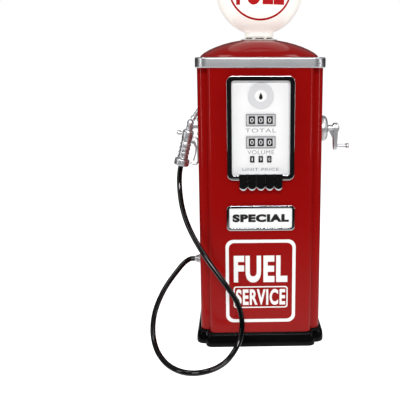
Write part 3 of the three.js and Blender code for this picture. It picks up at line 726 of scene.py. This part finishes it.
# Painted shadow: a fine grey line on the face just inside the bezel, where the bezel's lip shades it.
SHADOW_LINE_INSET = 2.4 * mm
dial_shadow_line = frame_of(
    "dial_painted_shadow_line", (face_low.x + SHADOW_LINE_INSET, face_y - PRINT, face_low.z + SHADOW_LINE_INSET),
    (face_high.x - SHADOW_LINE_INSET, face_y + PRINT, face_high.z - SHADOW_LINE_INSET), rail=0.8 * mm, corner=4 * mm,
    inner_corner=3.4 * mm, outer_edge=PRINT_EDGE, inner_edge=PRINT_EDGE,
)
dress(dial_shadow_line, pale_grey)

# The emblem is a grey disc with a raised rim, a white centre and a small black drop on it.
MEDAL_RIM = 2 * mm
MEDAL_FACE = 1.7 * mm
medal_low, medal_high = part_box("medallion")
medal_radius = (medal_high.x - medal_low.x) / 2
medallion = turned("medallion_disc", [
    (medal_radius, 0), (medal_radius, 1.4 * mm), (medal_radius - 0.6 * mm, MEDAL_RIM),
    (medal_radius - 1.4 * mm, MEDAL_RIM), (medal_radius - 1.8 * mm, MEDAL_FACE),
    (medal_radius - 2.2 * mm, MEDAL_FACE),
], sides=80)
placed(medallion, (0, medal_high.y, middle("medallion").z), (0, -1, 0))
dress(medallion, pale_grey, replaced=["medallion"])
inner_disc = turned("medallion_centre", in_mm([(14, 0), (14, 0.25), (13.8, 0.4)]), sides=64)
medal_face_y = medal_high.y - MEDAL_FACE
placed(inner_disc, (0, medal_face_y, middle("medallion").z), (0, -1, 0))
dress(inner_disc, white_gloss)

DROP_HEIGHT = 17 * mm
DROP_HALF_WIDTH = 6.2 * mm
DROP_RISE = 0.3 * mm
select_only()
bpy.ops.mesh.primitive_circle_add(vertices=28, radius=1, fill_type="NGON")
drop = bpy.context.object
drop.name = "medallion_drop"
for vertex in drop.data.vertices:
    angle = math.atan2(vertex.co.x, vertex.co.y)
    taper = abs(math.sin(angle / 2)) ** 1.5
    vertex.co.x *= DROP_HALF_WIDTH * taper
    vertex.co.y *= DROP_HEIGHT / 2
bpy.ops.object.mode_set(mode="EDIT")
bpy.ops.mesh.select_all(action="SELECT")
bpy.ops.mesh.extrude_region_move(TRANSFORM_OT_translate={"value": (0, 0, DROP_RISE)})
sealed(drop, gap=0.001 * mm)
drop_place = Matrix.Translation((0, medal_face_y - DROP_RISE, middle("medallion").z))
drop.matrix_world = drop_place @ Matrix.Rotation(math.radians(90), 4, "X")
bpy.ops.object.transform_apply(location=True, rotation=True, scale=True)
dress(drop, cell_black)

CELL_PITCH = 21.1 * mm
CELL_WIDTH = 14.8 * mm
CELL_HEIGHT = 18.4 * mm
CELL_DEPTH = 1.2 * mm
CELL_RISE = 1.4 * mm
DIGIT_WIDTH = 8 * mm
DIGIT_HEIGHT = 11 * mm
TILE_DIGIT_HEIGHT = 8.6 * mm
BACK_INSET = 1 * mm
BACK_RISE = 0.6 * mm


def black_cell(name, x, z, width, height, front, digit, digit_width, digit_height):
    """A black tile with a raised white digit as a second piece on it. Returns the tile."""
    tile = rounded_block(
        name, (x - width / 2, front, z - height / 2), (x + width / 2, front + CELL_DEPTH, z + height / 2),
        axis=1, corner=0.6 * mm, segments=3,
    )
    round_edges(tile, width=0.25 * mm, segments=2, angle=60)
    dress(tile, cell_black)
    mark = lettering(name + "_digit", digit, digit_width, digit_height, (x, front, z), 2 * PRINT)
    dress(mark, white_gloss)
    return tile


for node in ("sale_window", "gallons_window"):
    low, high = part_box(node)
    window = frame_of(
        node + "_frame", low, (high.x, face_y + PRINT, high.z), rail=2.2 * mm, corner=1.5 * mm,
        inner_corner=0.8 * mm, outer_edge=0.4 * mm, inner_edge=0.3 * mm,
    )
    dress(window, window_grey, replaced=[node])
    back = rounded_block(
        node + "_back", (low.x + BACK_INSET, face_y - BACK_RISE, low.z + BACK_INSET),
        (high.x - BACK_INSET, face_y + PRINT, high.z - BACK_INSET), axis=1, corner=0.6 * mm, segments=3,
    )
    dress(back, pale_grey)
    for number in range(3):
        black_cell(
            f"{node}_cell_{number + 1}", (number - 1) * CELL_PITCH, middle(node).z, CELL_WIDTH, CELL_HEIGHT,
            face_y - CELL_RISE, "0", DIGIT_WIDTH, DIGIT_HEIGHT,
        )

for number, digit in enumerate("190", start=1):
    node = f"price_tile_{number}"
    low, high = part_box(node)
    digit_width = (2.2 if digit == "1" else 4.6) * mm
    tile = black_cell(
        node + "_face", middle(node).x, middle(node).z, high.x - low.x, high.z - low.z, low.y, digit,
        digit_width, TILE_DIGIT_HEIGHT,
    )
    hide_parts(node)

for name, words, width, height, z in (
    ("sale_caption", "TOTAL", 74, 9.6, 549), ("volume_caption", "VOLUME", 64, 9.6, 496.6),
    ("price_caption", "UNIT PRICE", 88, 6.6, 455),
):
    caption = lettering(name, words, width * mm, height * mm, (0, face_y, z * mm), 2 * PRINT, gap=1.1)
    dress(caption, caption_ink)


# --- fluted skirt ---------------------------------------------------------------------------------
# Five chromed flutes under the dial, cast in one piece that covers the bezel's lower rail. They
# touch each other, and every one ends below in a shallow scallop.
FLUTES = 5
FLUTE_RELIEF = 7.3 * mm
FLUTE_SCALLOP = 6 * mm
FLUTE_FOOT = 5.5 * mm
FLUTE_SQUARENESS = 2.4
SKIRT_OVERLAP = 2.5 * mm
COLUMNS = 122
ROWS = 26
skirt_low, skirt_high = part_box("fluted_skirt")
skirt_depth = skirt_high.y - skirt_low.y
skirt_top = skirt_high.z + SKIRT_OVERLAP
flute_pitch = (skirt_high.x - skirt_low.x) / FLUTES
select_only()
bpy.ops.mesh.primitive_grid_add(x_subdivisions=COLUMNS, y_subdivisions=ROWS, size=1)
skirt = bpy.context.object
skirt.name = "fluted_skirt_casting"
# The grid's columns run down round each flute in turn, and its rows crowd towards the rounded foot.
# Its outermost columns and rows turn back to the flat rear face, which one face then closes.
for vertex in skirt.data.vertices:
    column = round((vertex.co.x + 0.5) * COLUMNS)
    row = round((0.5 - vertex.co.y) * ROWS)
    across = min(max((column - 1) / (COLUMNS - 2), 0), 1) * FLUTES
    flute = min(int(across), FLUTES - 1)
    turn = (across - flute - 0.5) * math.pi
    side = math.copysign(abs(math.sin(turn)) ** (2 / FLUTE_SQUARENESS), turn)
    swell = max(math.cos(turn), 0) ** (2 / FLUTE_SQUARENESS)
    bottom = skirt_low.z + FLUTE_SCALLOP * side ** 2
    down = min(max(row - 1, 0) / (ROWS - 2), 1)
    z = skirt_top + (bottom - skirt_top) * down ** 0.5
    foot = math.sqrt(1 - (1 - min((z - bottom) / FLUTE_FOOT, 1)) ** 2)
    depth = skirt_depth - FLUTE_RELIEF * (1 - swell) - FLUTE_FOOT * (1 - foot)
    if column in (0, COLUMNS) or row in (0, ROWS):
        depth = 0
    vertex.co = (skirt_low.x + (flute + 0.5 + side / 2) * flute_pitch, skirt_high.y - depth, z)
bpy.ops.object.mode_set(mode="EDIT")
bpy.ops.mesh.select_all(action="SELECT")
bpy.ops.mesh.region_to_loop()
bpy.ops.mesh.edge_face_add()
sealed(skirt, gap=0.002 * mm)
dress(skirt, chrome, replaced=["fluted_skirt"], angle=50)


# --- badge ----------------------------------------------------------------------------------------
# A white plastic name plate in a thin chromed frame, fixed on the front panel under the dial. It
# bears one plain grade word in bold black capitals.
badge_frame = frame_of(
    "badge_frame", *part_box("badge_bezel"), rail=7 * mm, corner=10 * mm, inner_corner=3.5 * mm,
    outer_edge=1.2 * mm, inner_edge=0.8 * mm,
)
dress(badge_frame, chrome, replaced=["badge_bezel"], angle=50)
badge_plate = round_edges(merged_copy("badge_plate", "badge_white_plate"), width=0.4 * mm, segments=2)
dress(badge_plate, white_gloss, replaced=["badge_plate"])
badge_word = lettering(
    "badge_word", "SPECIAL", width=138 * mm, height=20 * mm,
    centre=(0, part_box("badge_plate")[0].y, middle("badge_plate").z), thickness=2 * PRINT, weight=0.07,
    gap=1.14,
)
dress(badge_word, cell_black)


# --- front print ----------------------------------------------------------------------------------
# White ink, printed on the front panel's enamel: a rounded border, a large word, and a boxed line
# under it.
white_ink = make_finish(
    "white_ink", (0.85, 0.85, 0.84), (0.7, 0.68, 0.66), stain_amount=0.15, dust=0.2, roughness=0.35,
    scale=40, grain=900, bump=0.02,
)
panel_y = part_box("front_panel")[0].y
for name, half, low_z, high_z, line, corner in (
    ("print_border", 87, 62, 278, 8, 19), ("print_box", 68, 100, 157, 3, 7),
):
    border = frame_of(
        name, (-half * mm, panel_y - PRINT, low_z * mm), (half * mm, panel_y + PRINT, high_z * mm),
        rail=line * mm, corner=corner * mm, inner_corner=(corner - line * 0.6) * mm,
        outer_edge=PRINT_EDGE, inner_edge=PRINT_EDGE,
    )
    dress(border, white_ink)
for name, words, width, height, z, weight in (
    ("print_word", "FUEL", 134, 70, 202, 0.045), ("print_line", "SERVICE", 124, 42, 128.5, 0.035),
):
    word = lettering(
        name, words, width * mm, height * mm, (0, panel_y, z * mm), 2 * PRINT, weight=weight, gap=1.12,
    )
    dress(word, white_ink)


# --- crank ----------------------------------------------------------------------------------------
# A chromed reset crank on the right side: a dished rose on the panel, a cast arm with a webbed boss
# on the shaft, a cap screw over its end, and a turned grip that spins on its pin.
CRANK_THROW = 45 * mm
satin_chrome = make_finish(
    "satin_chrome", (0.78, 0.79, 0.81), (0.62, 0.62, 0.62), stain_amount=0.25, dust=0, roughness=0.4,
    spread=0.1, scale=60, grain=1100, bump=0.03, Metallic=1.0,
)
crank_axis = Vector((0, middle("crank_shaft").y, middle("crank_shaft").z))
grip_axis = crank_axis - Vector((0, 0, CRANK_THROW))
rose = turned("crank_rose", in_mm([
    (32, 152.8), (32.5, 153.3), (32.5, 161.5), *arc((22, 162), 10.5, 4, 80), (11.5, 174.2), (11.5, 174.9),
    (11, 175.2), (7.2, 175.2), (6.8, 174.8), (6.8, 172),
]), sides=72)
placed(rose, crank_axis, (1, 0, 0))
dress(rose, satin_chrome, replaced=["crank_escutcheon"], angle=50)
arm = round_edges(merged_copy("crank_arm", "crank_arm_casting"), width=1.2 * mm, segments=4, angle=40)
dress(arm, satin_chrome, body="crank", replaced=["crank_arm"], angle=50)
cap = turned("crank_cap_screw", in_mm([
    (10, 200.3), (10.5, 200.7), (10.5, 201.6), (9.8, 202.4), (8, 203.4), (4, 204.4), (0.5, 204.6),
]), sides=48)
placed(cap, crank_axis, (1, 0, 0))
dress(cap, satin_chrome, body="crank", replaced=["crank_cap"], angle=50)
grip = turned("crank_grip_handle", in_mm([
    (2.4, 199.2), (4, 199.2), (4.4, 199.6), (4.4, 217), (4.6, 220), (5.3, 222.6), (6.4, 224.4), (6.8, 225.4),
    (6.8, 229.2), (6.4, 230.1), (5.6, 230.5), (0.5, 230.5),
]), sides=40)
placed(grip, grip_axis, (1, 0, 0))
dress(grip, satin_chrome, body="grip", replaced=["crank_grip"], angle=40)
brass = make_finish(
    "turned_brass", (0.6, 0.42, 0.17), (0.4, 0.26, 0.1), roughness=0.28, spread=0.15, scale=80, grain=1500,
    Metallic=1.0,
)
crank_finishes = {"crank_shaft": steel, "shaft_collar": steel, "grip_pin": steel, "crank_bushing": brass}
for node, finish in crank_finishes.items():
    nodes[node].material_slots[0].material = finish


# --- nozzle ---------------------------------------------------------------------------------------
# A chromed die-cast nozzle on its own leaning axis: an end collar for the hose, a ribbed grip, a
# head with a side cap, and a bent spout that is cut off parallel to the cabinet.
NOZZLE_FOOT = Vector((-200.9, -25, 448.8)) * mm
NOZZLE_LEAN = math.radians(13.5)
SPOUT_LEAN = NOZZLE_LEAN + math.radians(21)
SPOUT_RISE = 113.5 * mm
SIDE_CAP_RISE = 81.4 * mm
nozzle_axis = Vector((math.sin(NOZZLE_LEAN), 0, math.cos(NOZZLE_LEAN)))
spout_axis = Vector((math.sin(SPOUT_LEAN), 0, math.cos(SPOUT_LEAN)))
spout_foot = NOZZLE_FOOT + nozzle_axis * SPOUT_RISE

end_collar = turned("nozzle_end_collar", in_mm([
    (15.6, 0), (17.8, 1.2), (18.7, 3), (19, 5), (19, 8.4), (18.3, 9), (18.3, 10), (19, 10.6), (19, 14),
    (18.6, 16), (17.5, 17.6), (16.8, 18),
]), sides=64)
placed(end_collar, NOZZLE_FOOT, nozzle_axis)
dress(end_collar, satin_chrome, body="nozzle", replaced=["end_collar"], angle=35)

grip_outline = [(11, 18.3), (12.2, 18.6), (12.6, 19.5)]
for z in (21, 32, 43, 54):
    grip_outline += [
        (12.6, z), (13.4, z + 0.3), (14, z + 1.2), (14, z + 3.4), (13.4, z + 4.3), (12.6, z + 4.6),
    ]
head = turned("nozzle_casting", in_mm([
    *grip_outline, (12.6, 66), (13.4, 70), (13.9, 72.6), (14, 74), (14, 88), (13.6, 90), (12.5, 92), (10, 94),
    (8, 95), (7.5, 97), (7.5, 109), (8.5, 110), (8.8, 110.8), (8.8, 113), (8.3, 113.6),
    *arc((0, 113.5), 8.2, 4, 86, steps=10),
]), sides=56)
lug = rounded_block(
    "nozzle_lug", Vector((8, -2, 62)) * mm, Vector((21.5, 2, 70)) * mm, axis=1, corner=3 * mm,
)
round_edges(lug, width=0.4 * mm, segments=2)
select_only(head, lug)
bpy.ops.object.join()
placed(head, NOZZLE_FOOT, nozzle_axis)
dress(head, satin_chrome, body="nozzle", replaced=["nozzle_body"], angle=40)

spout = turned("nozzle_spout_tube", in_mm([
    (6.6, 8.8), (7, 9.3), (6.6, 10.6), (5.6, 12.6), (5.5, 13.4), (5.5, 46), (4.3, 46), (4.3, 22),
]), sides=48)
placed(spout, spout_foot, spout_axis)
spout_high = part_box("nozzle_spout")[1]
WALL_SIDE = 100 * mm
select_only()
bpy.ops.mesh.primitive_cube_add(
    size=WALL_SIDE, location=(spout_high.x + WALL_SIDE / 2, spout_foot.y, spout_high.z)
)
cut_away(spout, bpy.context.object)
dress(spout, satin_chrome, body="nozzle", replaced=["nozzle_spout"], angle=40)
lock_ring = turned("nozzle_lock_ring", in_mm([
    (5.8, 13.3), (7, 13.3), (7.3, 13.6), (7.3, 15.8), (6.9, 16.4), (6.2, 16.6), (5.8, 16.6),
]), sides=40)
placed(lock_ring, spout_foot, spout_axis)
dress(lock_ring, steel, body="nozzle", replaced=["spout_ring"])

side_cap = turned("nozzle_side_cap", in_mm([
    (4, 12), (4, 17.5), (5.4, 17.9), (6, 18.5), (6, 20.5), (5.5, 21), (5.5, 22), (6, 22.5), (6, 26.3),
    (5.6, 27.4), (4.6, 28), (3, 28), (2.6, 27.2), (0.4, 27.2),
]), sides=36)
cap_axis = Vector((-math.cos(NOZZLE_LEAN), 0, math.sin(NOZZLE_LEAN)))
placed(side_cap, NOZZLE_FOOT + nozzle_axis * SIDE_CAP_RISE, cap_axis)
dress(side_cap, satin_chrome, body="nozzle", replaced=["side_cap"], angle=35)


def on_nozzle(x, z):
    """A point given along the nozzle's own leaning axes, as a place."""
    return NOZZLE_FOOT - cap_axis * x * mm + nozzle_axis * z * mm


GUARD_ROUTE = [
    (19.6, 11.5), (30, 10.8), (38, 13), (40, 20), (34.8, 45), (28.5, 71), (26, 76.5), (21, 78.5),
    (14.5, 78.5),
]
guard_line = smooth_line([on_nozzle(*point) for point in GUARD_ROUTE], steps=8)
guard = bent_rod("trigger_guard_rod", guard_line, radius=2.4 * mm)
dress(guard, satin_chrome, body="nozzle", replaced=["trigger_guard"], angle=50)
trigger = round_edges(merged_copy("trigger", "trigger_lever"), width=0.7 * mm)
dress(trigger, satin_chrome, body="trigger", replaced=["trigger"], angle=50)
nodes["trigger_pin"].material_slots[0].material = steel


# --- nozzle clip and hose connector ---------------------------------------------------------------
# The nozzle's neck rests in a chromed spring clip, held on the side panel by two screws. The hose's
# lower end is pressed on a chromed connector, whose nut is inside the cabinet.
CLIP_SCREW_HEAD = 2.3 * mm
clip = round_edges(merged_copy("nozzle_clip", "nozzle_clip_bracket"), width=0.5 * mm, angle=40)
dress(clip, satin_chrome, replaced=["nozzle_clip"], angle=40)
for number in (1, 2):
    node = f"clip_screw_{number}"
    screw = turned(node + "_head", in_mm([
        (1.9, -10), (1.9, 0), (4, 0), (4, 0.4), (3.7, 1.1), (3, 1.8), (2, 2.2), (0.5, 2.3),
    ]), sides=32)
    cross_slot(screw, across=4.2 * mm, deep=0.9 * mm, wide=0.9 * mm)
    head_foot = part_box(node)[0].x + CLIP_SCREW_HEAD
    placed(screw, (head_foot, middle(node).y, middle(node).z), (-1, 0, 0))
    dress(screw, steel, replaced=[node])
connector_place = Vector((0, middle("hose_connector").y, middle("hose_connector").z))
connector = turned("hose_connector_ferrule", in_mm([
    (8, 146), (8, 152.8), (13, 152.8), (13.5, 153.3), (13.5, 155.6), (13, 156.4), (11.4, 158.4), (10.5, 160),
    (9.9, 161), (10.3, 161.6), (10.3, 163), (9.4, 163.8), (8.6, 166), (7.9, 167), (7.9, 169.4), (7.3, 170),
]), sides=48)
placed(connector, connector_place, (-1, 0, 0))
dress(connector, satin_chrome, replaced=["hose_connector"], angle=35)
nodes["connector_nut"].material_slots[0].material = brass
